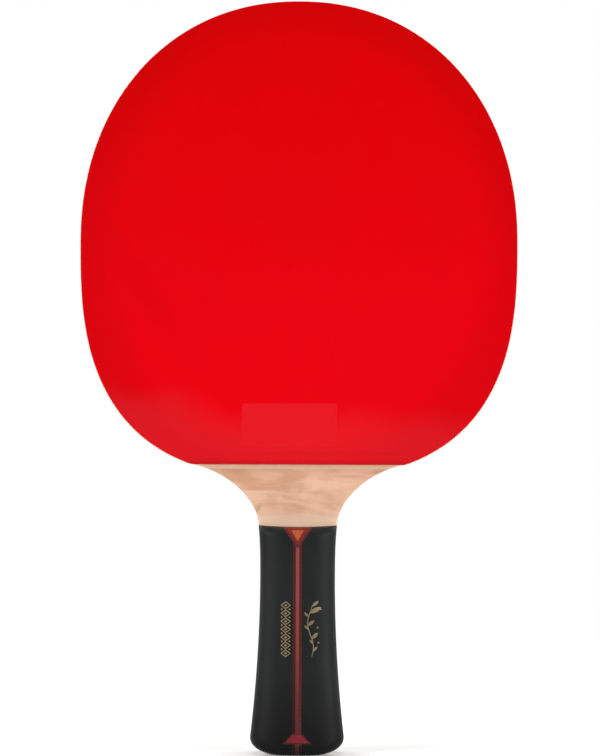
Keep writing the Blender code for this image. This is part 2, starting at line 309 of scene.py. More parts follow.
def thick_sheet(name, rows):
    """A closed body between rows of points and their feet on the blade's face."""
    shape = bmesh.new()
    foot_y = -GLUED_FACE + FOOT_REACH
    upper = [[shape.verts.new(point) for point in row] for row in rows]
    lower = [[shape.verts.new((point.x, foot_y, point.z)) for point in row] for row in rows]
    last_row, last = len(rows) - 1, len(rows[0]) - 1
    feet = []
    for r in range(last_row):
        for i in range(last):
            shape.faces.new((upper[r][i], upper[r][i + 1], upper[r + 1][i + 1], upper[r + 1][i]))
            foot = (lower[r][i], lower[r][i + 1], lower[r + 1][i + 1], lower[r + 1][i])
            feet.append(shape.faces.new(foot))
        for i in (0, last):
            shape.faces.new((upper[r][i], upper[r + 1][i], lower[r + 1][i], lower[r][i]))
    for r in (0, last_row):
        for i in range(last):
            shape.faces.new((upper[r][i], upper[r][i + 1], lower[r][i + 1], lower[r][i]))
    bmesh.ops.dissolve_faces(shape, faces=feet)
    bmesh.ops.remove_doubles(shape, verts=shape.verts, dist=MERGE)
    return finished(name, shape)


def prism(name, outline, depth):
    """A flat outline of (x, z) points, as thick as depth and centred on Y."""
    rings = [[(x, y, z) for x, z in outline] for y in (-depth / 2, depth / 2)]
    return ringed(name, rings)


def whole_form(name, sink=0.0):
    """One side of the grip as one solid, used only for cutting. A sunk one runs on past the top."""
    right = grip_rows(0.0, None, sink)
    rows = [[*left[:0:-1], *row] for left, row in zip(mirrored(right), right)]
    if sink:
        rows.append([point + Vector((0.0, 0.0, 2 * PAST_TOP)) for point in rows[-1]])
    return thick_sheet(name, rows)


def carved(name, mesh, tools):
    """The mesh after exact Booleans with (operation, mesh) tools."""
    thing = bpy.data.objects.new(name, mesh)
    bpy.context.scene.collection.objects.link(thing)
    helpers = []
    for operation, tool in tools:
        helper = bpy.data.objects.new("tool", tool)
        bpy.context.scene.collection.objects.link(helper)
        helper.hide_render = True
        step = thing.modifiers.new(operation, "BOOLEAN")
        step.operation = operation
        step.solver = "EXACT"
        step.object = helper
        helpers.append(helper)
    seen = bpy.context.evaluated_depsgraph_get()
    result = bpy.data.meshes.new_from_object(thing.evaluated_get(seen))
    for used in (thing, *helpers):
        bpy.data.objects.remove(used)
    result.shade_smooth()
    result.set_sharp_from_angle(angle=math.radians(SHARP))
    result.name = name
    return result


# ---------------------------------------------------------------- materials

ALL_DEPTHS = 1000.0  # a size along Y that makes a mark reach through the whole racket

# Rubber
LIT_LOW_FROM, LIT_LOW_FULL = 0.250, 0.135  # heights between which the base colour turns into the low one: painted light, brighter towards the bottom
HAZE_SHEEN_FROM, HAZE_SHEEN_FULL = 0.1275, 0.1140  # heights between which the haze sets in: a painted reflection in the colour, and matter rubber in the roughness
HAZE_SHEEN_WANDER = 0.016  # how far its upper edge wanders
HAZE_SHEEN_LEFT = (-0.017, -0.050, 0.0, 0.010)  # from one x to another it sets in higher, by so much
HAZE_SHEEN_RIGHT = (0.030, 0.060, 0.0, 0.001)
DARK_STREAK = ((-0.052, 0.158), (0.008, 0.042), -33.0)  # place, size and turn of a darker streak
CUT_SHADE = 0.0025  # height of the painted shade above the straight cut

# Wood
LIT_VENEER, FRINGE = (1.0, 0.71, 0.52), (1.0, 0.88, 0.76)  # painted light: paler veneer beside the grip and just under the rubber, where their steps shade it; and a pale fringe along the rubber
LIT_NEAR_GRIP_Z, LIT_NEAR_RUBBER_Z = (0.0840, 0.0785), (0.0972, 0.0980)  # heights over which each zone sets in
FRINGE_Z = (0.0990, 0.1002)
# darker spots on the faces
DARK_SPOT_TONE = (0.50, 0.33, 0.18)
DARK_SPOTS = (  # place, size, turn and strength
    ((-0.0136, 0.0840), (0.0011, 0.0028), 28.0, 0.60),
    ((-0.0165, 0.0940), (0.0034, 0.0006), 0.0, 0.35),
)

# Lacquer
BUTT_SHADE_FULL = 0.002  # height at which the painted shade towards the butt is full
FOOT_SHADE_Z, FOOT_SHADE = (0.0044, 0.0028), 0.88  # where painted shade turns it almost black at the butt, and how far


def darker(colour, share):
    """A colour at a share of its brightness."""
    return tuple(c * share for c in colour)


def add_node(tree, kind, settings=None, **inputs):
    """A node with its settings and inputs; an input goes by its name, or as i0, i1 and so on."""
    made = tree.nodes.new("ShaderNode" + kind)
    for key, value in (settings or {}).items():
        setattr(made, key, value)
    for key, value in inputs.items():
        numbered = key[0] == "i" and key[1:].isdigit()
        socket = made.inputs[int(key[1:]) if numbered else key.replace("_", " ")]
        if isinstance(value, bpy.types.NodeSocket):
            tree.links.new(value, socket)
        else:
            socket.default_value = value
    return made


class Finish:
    """A material whose nodes are added with short calls."""

    def __init__(self, name, **uniform):
        self.material = bpy.data.materials.new(name)
        self.material.use_nodes = True
        self.tree = self.material.node_tree
        self.shader = self.tree.nodes["Principled BSDF"]
        self.place = self.tree.nodes.new("ShaderNodeTexCoord").outputs["Object"]
        for socket, value in uniform.items():
            self.shader.inputs[socket.replace("_", " ")].default_value = value

    def node(self, kind, settings=None, **inputs):
        return add_node(self.tree, kind, settings, **inputs)

    def noise(self, scale, detail=3.0, roughness=0.5, distortion=0.0):
        """A noise from 0 to 1; scale is repeats to the metre, one number or three."""
        axes = scale if isinstance(scale, tuple) else (scale, scale, scale)
        local = self.node("Mapping", Vector=self.place, Scale=axes).outputs["Vector"]
        made = self.node("TexNoise", Vector=local, Scale=1.0, Detail=detail, Roughness=roughness,
                         Distortion=distortion)
        return made.outputs["Fac"]

    def cells(self, scale):
        """Distance to the middle of the nearest cell, with so many cells to the metre."""
        return self.node("TexVoronoi", Vector=self.place, Scale=scale).outputs["Distance"]

    def math(self, operation, a, b=0.0):
        return self.node("Math", {"operation": operation}, i0=a, i1=b).outputs[0]

    def span(self, value, low, high, to_low=0.0, to_high=1.0):
        """A smooth step from to_low to to_high, as a value goes from low to high."""
        made = self.node("MapRange", {"interpolation_type": "SMOOTHSTEP"}, i0=value, i1=low, i2=high,
                         i3=to_low, i4=to_high)
        return made.outputs[0]

    def spread(self, place, size, turn=0.0):
        """Distance from an (x, z) place as a share of an ellipse's half width and half height."""
        (x, z), (across, up) = place, size
        local = self.node("Mapping", {"vector_type": "TEXTURE"}, Vector=self.place, Location=(x, 0.0, z),
                          Rotation=(0.0, math.radians(turn), 0.0), Scale=(across, ALL_DEPTHS, up))
        return self.node("VectorMath", {"operation": "LENGTH"}, i0=local.outputs["Vector"]).outputs["Value"]

    def axis(self, name):
        return self.node("SeparateXYZ", i0=self.place).outputs[name]

    def facing(self, name):
        """How far the surface itself faces along an axis, from 0 to 1."""
        normal = self.node("NewGeometry").outputs["Normal"]
        return self.math("ABSOLUTE", self.node("SeparateXYZ", i0=normal).outputs[name])

    def blend(self, factor, a, b):
        """A mix from a to b, each a colour or a socket."""
        a, b = ((*c, 1.0) if isinstance(c, tuple) else c for c in (a, b))
        return self.node("Mix", {"data_type": "RGBA"}, i0=factor, i6=a, i7=b).outputs[2]

    def colour(self, value):
        self.tree.links.new(value, self.shader.inputs["Base Color"])

    def roughness(self, value, low, high):
        """Roughness from low to high as a value goes from 0 to 1."""
        self.tree.links.new(self.span(value, 0.0, 1.0, low, high), self.shader.inputs["Roughness"])

    def bump(self, *layers):
        """Bumps, each a height from 0 to 1 and what it stands for in metres."""
        normal = None
        for height, distance in layers:
            extra = {"Normal": normal} if normal else {}
            made = self.node("Bump", Height=height, Distance=distance, Strength=1.0, **extra)
            normal = made.outputs["Normal"]
        self.tree.links.new(normal, self.shader.inputs["Normal"])


def rubber_finish(name, base, low, sheen_colour, gloss, rough):
    """Smooth moulded rubber with painted light: brighter towards the bottom, painted shade towards its
    outline and on its edges, and a painted reflection near the handle, where it is also matter.
    """
    made = Finish(name, Specular_IOR_Level=gloss)
    height, side = made.axis("Z"), made.axis("X")
    # painted light: the rubber turns into its low colour towards the bottom, as if lit more from below
    shade = made.blend(made.span(height, LIT_LOW_FROM, LIT_LOW_FULL), base, low)
    clouds = made.noise((26.0, 26.0, 20.0), 3.0, 0.55)
    outline = made.spread((0.0, HEAD_CENTRE_Z), (HEAD_HALF_WIDTH, HEAD_RISE))
    # painted shade: darker towards the head's outline; besides it, a darker streak and a cloudy uneven tone
    shadow = made.span(outline, 0.78, 1.02, 0.0, 0.14)
    streak = made.span(made.spread(*DARK_STREAK), 1.0, 0.1, 0.0, 0.05)
    dim = made.math("ADD", shadow, streak)
    dim = made.math("ADD", dim, made.span(clouds, 0.35, 0.75, 0.0, 0.04))
    drift = made.noise(38.0, 2.0)
    rise = made.math("ADD", made.span(side, *HAZE_SHEEN_LEFT), made.span(side, *HAZE_SHEEN_RIGHT))
    wandering = made.math("ADD", height, made.math("MULTIPLY", drift, HAZE_SHEEN_WANDER))
    haze_and_sheen = made.span(made.math("SUBTRACT", wandering, rise), HAZE_SHEEN_FROM, HAZE_SHEEN_FULL)
    patchy_sheen = made.math("MULTIPLY", haze_and_sheen, made.span(drift, 0.1, 0.6, 0.8, 1.0))
    # painted reflection: lighter, pinker rubber near the handle; the same mask also makes it matter
    shade = made.blend(patchy_sheen, shade, sheen_colour)
    shade = made.blend(dim, shade, (0.0, 0.0, 0.0))
    # painted shade: the sheet's cut edges, facing away from Y, are darkened
    rim = made.span(made.facing("Y"), 0.92, 0.35, 0.0, 0.8)
    shade = made.blend(rim, shade, darker(base, 0.5))
    # painted shade: a darker band just above the straight cut
    cut = made.span(height, RUBBER_CUT_Z + CUT_SHADE, RUBBER_CUT_Z, 0.0, 0.45)
    made.colour(made.blend(cut, shade, darker(sheen_colour, 0.5)))
    made.roughness(made.math("ADD", made.math("MULTIPLY", haze_and_sheen, 0.35), clouds), *rough)
    made.bump((made.noise(900.0, 2.0), 0.000006), (made.noise(2600.0, 2.0), 0.000004))
    return made.material


def wood_finish(name, pale, deep, edge, figured):
    """Wood: fibres, a wavy figure and darker spots on the faces, and end grain on the cut edges.

    Figured is how strongly the figure, the painted light beside the grip and under the rubber, and the
    darker spots show.
    """
    made = Finish(name, Specular_IOR_Level=0.35, Coat_Roughness=0.35, Coat_Weight=0.08)
    fibres = made.noise((1500.0, 1500.0, 34.0), 4.0, 0.6)
    coarse = made.noise((420.0, 420.0, 14.0), 3.0, 0.55)
    figure = made.noise((40.0, 60.0, 165.0), 3.0, 0.5, 1.4)
    patches = made.noise((62.0, 60.0, 80.0), 2.0, 0.5, 0.8)
    mixed = made.math("ADD", made.math("MULTIPLY", figure, 0.6), made.math("MULTIPLY", patches, 0.4))
    tone = made.span(mixed, 0.38, 0.62)
    face = made.blend(made.math("MULTIPLY", tone, figured), pale, deep)
    face = made.blend(made.span(coarse, 0.5, 0.85, 0.0, 0.15), face, deep)
    face = made.blend(made.span(fibres, 0.55, 0.9, 0.0, 0.16), face, darker(deep, 0.75))
    height = made.axis("Z")
    # painted light: paler veneer next to the grip and just under the rubber, where their steps shade it
    lit_zones = made.math("MAXIMUM", made.span(height, *LIT_NEAR_GRIP_Z), made.span(height, *LIT_NEAR_RUBBER_Z))
    face = made.blend(made.math("MULTIPLY", lit_zones, figured), face, LIT_VENEER)
    fringe = made.span(height, *FRINGE_Z)
    face = made.blend(made.math("MULTIPLY", fringe, figured), face, FRINGE)
    for place, size, turn, strength in DARK_SPOTS:
        dark_spot = made.span(made.spread(place, size, turn), 1.0, 0.2, 0.0, strength * figured)
        face = made.blend(dark_spot, face, DARK_SPOT_TONE)
    end = made.noise((1100.0, 1100.0, 260.0), 3.0, 0.65)
    side = made.blend(made.span(end, 0.35, 0.7), edge, darker(edge, 0.74))
    rim = made.span(made.facing("Y"), 0.8, 0.35)
    made.colour(made.blend(rim, face, side))
    halves = made.math("MULTIPLY", fibres, 0.5), made.math("MULTIPLY", tone, 0.5)
    made.roughness(made.math("ADD", *halves), 0.42, 0.62)
    made.bump((fibres, 0.00002), (coarse, 0.00003))
    return made.material


def foam_finish(name):
    """Open sponge seen on its cut edge: pores, bumped and darkened with painted shade, uneven colour, no
    gloss.
    """
    made = Finish(name, Specular_IOR_Level=0.1)
    pores = made.cells(2600.0)
    small = made.cells(5200.0)
    tint = made.noise(160.0, 3.0)
    body = made.blend(made.span(tint, 0.3, 0.7), (0.86, 0.66, 0.36), (0.78, 0.55, 0.26))
    # painted shade: the pores are darkened, as shade falls in them
    body = made.blend(made.span(pores, 0.34, 0.10), body, (0.44, 0.27, 0.11))
    made.colour(made.blend(made.span(small, 0.3, 0.05, 0.0, 0.5), body, (0.50, 0.32, 0.14)))
    made.roughness(tint, 0.85, 0.98)
    made.bump((made.span(pores, 0.0, 0.5), 0.00012), (made.span(small, 0.0, 0.4), 0.00005))
    return made.material


def lacquer_finish(name, base, worn, butt_shade=0.45, butt_shade_from=0.034):
    """Lacquer over wood: the grain shows faintly through, and painted shade darkens it to almost black at
    the butt.
    """
    made = Finish(name, Specular_IOR_Level=0.16)
    fibres = made.noise((1300.0, 1300.0, 30.0), 3.0, 0.6)
    clouds = made.noise((60.0, 60.0, 34.0), 3.0, 0.55)
    shade = made.blend(made.span(clouds, 0.36, 0.68), base, worn)
    shade = made.blend(made.span(fibres, 0.5, 0.82, 0.0, 0.35), shade, darker(base, 0.6))
    height = made.axis("Z")
    # painted shade: darker towards the butt, almost black on its rounded foot
    low = made.span(height, butt_shade_from, BUTT_SHADE_FULL, 0.0, butt_shade)
    foot = made.span(height, *FOOT_SHADE_Z, 0.0, FOOT_SHADE)
    made.colour(made.blend(made.math("MAXIMUM", low, foot), shade, darker(base, 0.1)))
    made.roughness(clouds, 0.42, 0.55)
    made.bump((fibres, 0.000012), (made.noise(500.0, 2.0), 0.000006))
    return made.material


def gilt_finish(name):
    """Stamped gold foil, dulled, with small bare spots."""
    made = Finish(name, Metallic=0.9)
    specks = made.noise(2400.0, 2.0, 0.7)
    made.colour(made.blend(made.span(specks, 0.55, 0.75), (0.36, 0.29, 0.165), (0.12, 0.10, 0.065)))
    made.roughness(specks, 0.3, 0.55)
    made.bump((specks, 0.000006))
    return made.material


# ---------------------------------------------------------------- pieces

def show(name, mesh, material, slot, *stands_for):
    """A piece in place: one mesh, one material, riding on the only body."""
    made = bpy.data.objects.new(name, mesh)
    bpy.context.scene.collection.objects.link(made)
    mesh.materials.clear()
    mesh.materials.append(material)
    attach(made, "root")
    if stands_for:
        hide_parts(*stands_for)
    return made


def half_turned(mesh, name):
    """A copy of a red-side mesh for the black side."""
    turned = mesh.copy()
    turned.name = name
    turned.transform(Matrix.Rotation(math.pi, 4, "Z"))
    return turned


def on_both(name, mesh, materials, slots, node=None):
    """A red-side mesh shown on both sides; materials and slots are one for both, or a pair. The slots are
    not used.
    """
    made = []
    for i, side in enumerate(("front", "back")):
        piece = mesh if side == "front" else half_turned(mesh, name + "_back")
        look = materials[i] if isinstance(materials, tuple) else materials
        slot = slots[i] if isinstance(slots, tuple) else slots
        nodes = [node + "_" + side] if node else []
        made.append(show(name + "_" + side, piece, look, slot, *nodes))
    return made


def depth_of(node):
    """Where a red-side node begins and ends: its outer y first."""
    low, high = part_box(node)
    return low.y, high.y


# Blade
PLY_RADIUS, CORE_RADIUS, VENEER_RADIUS = 0.00006, 0.00008, 0.00045  # of the plies' edges
PLY_SUPPORT, PLY_WAVER, PLY_GRAIN = 0.0004, 0.00002, 400.0
veneer = wood_finish("veneer", (0.88, 0.55, 0.375), (0.68, 0.37, 0.228), (1.0, 0.80, 0.64), 1.0)
crossband = wood_finish("crossband", (0.62, 0.38, 0.21), (0.50, 0.29, 0.15), (0.56, 0.33, 0.17), 0.3)
core_wood = wood_finish("core_wood", (0.76, 0.53, 0.33), (0.66, 0.43, 0.25), (0.80, 0.60, 0.40), 0.3)

ply_outline = blade_outline()
core_front, core_back = depth_of("core_ply")
core_edge = rounded_edges(core_front, core_back, CORE_RADIUS, CORE_RADIUS, PLY_SUPPORT)
core_mesh = edged("core", ply_outline, core_edge, PLY_WAVER, PLY_GRAIN)
show("core", core_mesh, core_wood, "core_wood", "core_ply")
for name, node, outer_radius, look, slot in (
        ("crossband", "cross_ply", PLY_RADIUS, crossband, "cross_wood"),
        ("veneer", "face_ply", VENEER_RADIUS, veneer, "face_wood")):
    edge = rounded_edges(*depth_of(node + "_front"), outer_radius, PLY_RADIUS, PLY_SUPPORT)
    mesh = edged(name + "_front", ply_outline, edge, PLY_WAVER, PLY_GRAIN)
    on_both(name, mesh, look, slot, node)

# Rubbers
SKIN = 0.00075  # thickness of a sheet above its pimples
SKIN_RADII = (0.00022, 0.00006)  # of its outer edge and its inner one
SKIN_SUPPORT, SKIN_WAVER, SKIN_GRAIN = 0.0005, 0.00003, 160.0
FOAM_LEVELS, FOAM_WAVER, FOAM_GRAIN = 9, 0.00008, 1100.0
FOAM_INSETS = (0.00004, 0.0003, 0.0009)  # of the sponge's cut edge, and of two rings on its faces
PIMPLE_PITCH, PIMPLE_ROOT, PIMPLE_TIP, PIMPLE_SIDES = 0.0030, 0.00100, 0.00082, 12
PIMPLE_CLEARANCE = 0.0002  # between the outermost pimples and the sheet's edge
PIMPLE_OVERLAP = 0.00005  # how far the pimples reach into the skin
# Each rubber's second colour is painted light, brighter towards the bottom; its third is a painted
# reflection near the handle.
RED, RED_LIT_LOW, RED_SHEEN = (0.80, 0.0, 0.0010), (0.86, 0.0, 0.0045), (0.84, 0.0092, 0.0160)
BLACK, BLACK_LIT_LOW, BLACK_SHEEN = (0.0115, 0.0115, 0.0125), (0.0130, 0.0130, 0.0140), (0.018, 0.018, 0.019)
red = rubber_finish("red_rubber", RED, RED_LIT_LOW, RED_SHEEN, 0.08, (0.28, 0.42))
black = rubber_finish("black_rubber", BLACK, BLACK_LIT_LOW, BLACK_SHEEN, 0.50, (0.20, 0.34))
foam = foam_finish("foam")

sheet_outline = rubber_outline()
sheet_outer, sheet_inner = depth_of("topsheet_front")
skin_inner = sheet_outer + SKIN
skin_edge = rounded_edges(sheet_outer, skin_inner, *SKIN_RADII, SKIN_SUPPORT)
skin = edged("rubber_front", sheet_outline, skin_edge, SKIN_WAVER, SKIN_GRAIN)
on_both("rubber", skin, (red, black), ("red_rubber", "black_rubber"), "topsheet")

sponge_outer, sponge_inner = depth_of("sponge_front")
cut_inset, near_inset, far_inset = FOAM_INSETS
sponge_edge = [(far_inset, sponge_outer), (near_inset, sponge_outer)]
sponge_edge += [(cut_inset, sponge_outer + (sponge_inner - sponge_outer) * (i + 0.5) / FOAM_LEVELS)
                for i in range(FOAM_LEVELS)]
sponge_edge += [(near_inset, sponge_inner), (far_inset, sponge_inner)]
sponge = edged("foam_front", sheet_outline, sponge_edge, FOAM_WAVER, FOAM_GRAIN)
for piece in on_both("foam", sponge, foam, "sponge", "sponge"):
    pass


def pimples(name, y_root, y_tip):
    """Short tapered columns in a honeycomb, between the skin and the sponge."""
    shape = bmesh.new()
    rows = int(2 * HEAD_RISE / PIMPLE_PITCH) + 2
    keep_off = PIMPLE_ROOT + PIMPLE_CLEARANCE
    turns = [2 * math.pi * i / PIMPLE_SIDES for i in range(PIMPLE_SIDES)]
    for row in range(-rows, rows):
        for column in range(-rows, rows):
            x = (column + 0.5 * (row % 2)) * PIMPLE_PITCH
            z = HEAD_CENTRE_Z + row * PIMPLE_PITCH * math.sqrt(0.75)
            angle = math.atan2(z - HEAD_CENTRE_Z, x)
            limit = head_point(angle, RUBBER_MARGIN + keep_off)
            inside = math.hypot(x, z - HEAD_CENTRE_Z) < math.hypot(limit[0], limit[1] - HEAD_CENTRE_Z)
            if not inside or z < RUBBER_CUT_Z + keep_off:
                continue
            rings = []
            for radius, y in ((PIMPLE_ROOT, y_root), (PIMPLE_TIP, y_tip)):
                rings.append([shape.verts.new((x + radius * math.cos(t), y, z + radius * math.sin(t)))
                              for t in turns])
            root, tip = rings
            for i in range(PIMPLE_SIDES):
                j = (i + 1) % PIMPLE_SIDES
                shape.faces.new((root[i], root[j], tip[j], tip[i]))
            shape.faces.new(root)
            shape.faces.new(tip)
    return finished(name, shape)


on_both("pimples", pimples("pimples_front", skin_inner - PIMPLE_OVERLAP, sheet_inner), (red, black),
        ("red_rubber", "black_rubber"))

BAR_RADIUS, BAR_STEPS, BAR_ROOT, BAR_SHARP = 0.0006, 4, 0.0002, 60.0
BAR_PROFILE = ((0.0, 0.3), (0.3, 0.8), (1.0, 1.0))  # shares of the edge's width and of the bar's height
PANEL = (-0.0192, 0.0133, 0.1052, 0.1200, 0.00010, 0.0004)  # x0, x1, z0, z1, how proud, width of its bevel
RIDGE = (-0.0192, 0.0345, 0.1029, 0.1034, 0.00014, 0.00012)


def raised_bar(name, x0, x1, z0, z1, proud, edge):
    """A low flat-topped bar moulded on the playing face, as high as proud and bevelled over edge."""
    radius = min(BAR_RADIUS, (z1 - z0) / 2.2)
    outline = []
    for cx, cz, start in ((x1 - radius, z1 - radius, 90), (x1 - radius, z0 + radius, 0),
                          (x0 + radius, z0 + radius, -90), (x0 + radius, z1 - radius, 180)):
        for i in range(BAR_STEPS + 1):
            angle = math.radians(start - 90 * i / BAR_STEPS)
            outline.append((cx + radius * math.cos(angle), cz + radius * math.sin(angle)))
    pairs = [(0.0, sheet_outer + BAR_ROOT)]
    pairs += [(edge * across, sheet_outer - proud * up) for across, up in BAR_PROFILE]
    rings = [[(x, y, z) for x, z in inward(outline, [inset] * len(outline))] for inset, y in pairs]
    return ringed(name, rings, BAR_SHARP)


RED_PANEL = (0.845, 0.0078, 0.0158)
red_panel = rubber_finish("red_panel", RED_PANEL, RED_PANEL, RED_SHEEN, 0.08, (0.42, 0.52))
black_panel = rubber_finish("black_panel", BLACK_SHEEN, BLACK_SHEEN, BLACK_SHEEN, 0.50, (0.38, 0.48))
for name, bar in (("rubber_panel", PANEL), ("rubber_ridge", RIDGE)):
    mesh = raised_bar(name + "_front", *bar)
    on_both(name, mesh, (red_panel, black_panel), ("red_rubber", "black_rubber"))

# Grip
lacquer = lacquer_finish("black_lacquer", (0.0115, 0.0135, 0.0125), (0.0160, 0.0180, 0.0172), 0.85)
strip_red = lacquer_finish("strip_red", (0.088, 0.010, 0.0085), (0.108, 0.014, 0.012), 0.70, 0.050)
strip_rose = lacquer_finish("strip_rose", (0.265, 0.070, 0.062), (0.220, 0.058, 0.062), 0.72, 0.064)
strip_crimson = lacquer_finish("strip_crimson", (0.092, 0.0125, 0.0155), (0.114, 0.017, 0.021), 0.05)
plum = lacquer_finish("plum_inlay", (0.105, 0.022, 0.028), (0.125, 0.028, 0.036))
foot_plum = lacquer_finish("plum_foot", (0.31, 0.022, 0.036), (0.36, 0.028, 0.044))
inlay_red = lacquer_finish("red_inlay", (0.25, 0.022, 0.010), (0.20, 0.018, 0.010))
inlay_orange = lacquer_finish("orange_inlay", (0.47, 0.110, 0.038), (0.40, 0.090, 0.034))


def wedge(half, top, tip):
    """An upside-down triangle, half its width at the top, from the top down to its tip."""
    return [(half, top), (0.0, tip), (-half, top)]


def band(outer, inner):
    """A V-shaped outline between two triangles that share their top."""
    return [outer[0], outer[1], outer[2], inner[2], inner[1], inner[0]]


def heart_outline(gap):
    """The middle of the top inlay, moved out by a gap all round."""
    tip, top = TOP_CORE_Z
    slope = TOP_CORE_HALF / (top - tip)
    tip -= gap * math.hypot(1.0, slope) / slope
    top += gap
    return wedge(slope * (top - tip), top, tip)


def foot_outline(gap):
    """The trapezoid at the foot, moved out by a gap all round."""
    low, high = FOOT_INLAY_Z
    base, crown = FOOT_INLAY_HALF
    slope = (base - crown) / (high - low)
    slant = gap * math.hypot(1.0, slope)
    base += slant + slope * gap
    crown += slant - slope * gap
    return [(crown, high + gap), (base, low - gap), (-base, low - gap), (-crown, high + gap)]


def crown_outline(inside):
    """The top inlay's triangle, a distance inside its edge."""
    top = GRIP_TOP_Z + PAST_TOP
    slope = TOP_INLAY_HALF / (GRIP_TOP_Z - TOP_INLAY_TIP_Z)
    tip = TOP_INLAY_TIP_Z + inside * math.hypot(1.0, slope) / slope
    return wedge(slope * (top - tip), top, tip)


form = whole_form("form")
under = whole_form("under", INLAY_DEPTH)
floor_form = whole_form("floor_form", INLAY_DEPTH + JOINT)
REACH = 4 * WAIST_HALF_DEPTH  # depth of the prisms that cut through the whole grip
pockets = [carved("pocket", prism("pocket", outline, REACH), [("DIFFERENCE", floor_form)])
           for outline in (crown_outline(-JOINT), foot_outline(JOINT))]

strip_edge = CENTRE_STRIP / 2 + JOINT
slab_edge = strip_edge + SIDE_STRIP + JOINT
slab_rows = grip_rows(slab_edge)
strip_rows = grip_rows(strip_edge, strip_edge + SIDE_STRIP)
centre_rows = grip_rows(-CENTRE_STRIP / 2, CENTRE_STRIP / 2)
laminations = (
    ("grip_left", mirrored(slab_rows), lacquer, "black_lacquer", "grip_slab_left"),
    ("band_left", mirrored(strip_rows), strip_red, "strip_red", "strip_left"),
    ("band_centre", centre_rows, strip_rose, "strip_rose", "strip_centre"),
    ("band_right", strip_rows, strip_crimson, "strip_red", "strip_right"),
    ("grip_right", slab_rows, lacquer, "black_lacquer", "grip_slab_right"),
)
for name, rows, look, slot, node in laminations:
    mesh = carved(name + "_front", thick_sheet(name, rows), [("DIFFERENCE", pocket) for pocket in pockets])
    on_both(name, mesh, look, slot, node)

crown_rim = band(crown_outline(0.0), crown_outline(RIM_WIDTH))
crown_body = crown_outline(RIM_WIDTH + JOINT)
inlays = (
    ("crown_rim", crown_rim, None, plum, "inlay_plum", "top_inlay_rim"),
    ("crown_body", crown_body, heart_outline(JOINT), inlay_red, "inlay_red", "top_inlay_body"),
    ("crown_heart", heart_outline(0.0), None, inlay_orange, "inlay_orange", "top_inlay_core"),
    ("foot_body", foot_outline(-FOOT_RIM), None, foot_plum, "inlay_red", "foot_inlay"),
    ("foot_rim", foot_outline(0.0), foot_outline(JOINT - FOOT_RIM), plum, "inlay_plum", None),
)
for name, outline, hole, look, slot, node in inlays:
    tools = [("INTERSECT", form), ("DIFFERENCE", under)]
    if hole:
        tools.insert(0, ("DIFFERENCE", prism("hole", hole, 2 * REACH)))
    on_both(name, carved(name + "_front", prism(name, outline, REACH), tools), look, slot, node)

# Gold ornaments on the front of the grip
gilt = gilt_finish("gilt")
PROUD, ROOTED = 0.00004, 0.00006  # how far the gold stands out of the lacquer, and reaches into it
PETAL_STEPS, PETAL_TIP = 10, 0.00002  # points along a leaf, and half its width at its ends
BEAD = 0.0003  # half the size of a small bead or berry
OVAL, LEAFY, LEAF_WIDTH = 0.5, 0.8, 0.19  # roundness of beads and leaves; half a leaf's width to its length


def ribbon(shape, path, widths, closed=False):
    """A thin strip on the grip's surface along (x, z) points, reaching as far as widths to each side."""
    count = len(path)
    rails = []
    for i, (x, z) in enumerate(path):
        before = path[i - 1] if closed or i else path[i]
        after = path[(i + 1) % count] if closed or i < count - 1 else path[i]
        run = Vector((after[0] - before[0], after[1] - before[1])).normalized()
        across = Vector((-run.y, run.x)) * widths[i]
        corners = []
        for side in (1, -1):
            for sink in (-PROUD, ROOTED):
                point = section_point(x + across.x * side, z + across.y * side, sink)
                corners.append(shape.verts.new(point))
        rails.append(corners)
    pairs = list(zip(rails, rails[1:])) + ([(rails[-1], rails[0])] if closed else [])
    for here, there in pairs:
        for a, b in ((0, 2), (2, 3), (3, 1), (1, 0)):
            shape.faces.new((here[a], here[b], there[b], there[a]))
    if not closed:
        for end in (rails[0], rails[-1]):
            shape.faces.new((end[0], end[2], end[3], end[1]))


def petal(shape, start, end, half_width, roundness):
    """A leaf from start to end; roundness 0.5 makes an ellipse and 1 a pointed leaf."""
    path, widths = [], []
    for i in range(PETAL_STEPS + 1):
        share = 0.5 - 0.5 * math.cos(math.pi * i / PETAL_STEPS)
        path.append((start[0] + (end[0] - start[0]) * share, start[1] + (end[1] - start[1]) * share))
        widths.append(max(PETAL_TIP, half_width * (4 * share * (1 - share)) ** roundness))
    ribbon(shape, path, widths)


def lozenge(shape, x, z, half_width, half_height, line):
    """An open lozenge round a place; its line reaches as far as line to each side."""
    corners = [(x + half_width, z), (x, z + half_height), (x - half_width, z), (x, z - half_height)]
    ribbon(shape, corners, [line] * 4, closed=True)


COLUMN_X, COLUMN_Z, LOZENGES = -0.00400, (0.0336, 0.0527), 7
LOZENGE_HALF, LOZENGE_RISE = 0.00155, 0.42  # half its width, and half its height as a share of the pitch
LOZENGE_LINE, LOZENGE_BEAD, BEADS_OUT = 0.00024, 0.00042, 0.00130


def gilt_column(name):
    """A column of open lozenges with a bead in each, and beads between them."""
    shape = bmesh.new()
    low, high = COLUMN_Z
    pitch = (high - low) / LOZENGES
    for i in range(LOZENGES):
        z = low + pitch * (i + 0.5)
        lozenge(shape, COLUMN_X, z, LOZENGE_HALF, pitch * LOZENGE_RISE, LOZENGE_LINE)
        petal(shape, (COLUMN_X, z - LOZENGE_BEAD), (COLUMN_X, z + LOZENGE_BEAD), LOZENGE_BEAD, OVAL)
        if i:
            for side in (-1, 1):
                x = COLUMN_X + side * BEADS_OUT
                petal(shape, (x, z - pitch / 2 - BEAD), (x, z - pitch / 2 + BEAD), BEAD, OVAL)
    return finished(name, shape)


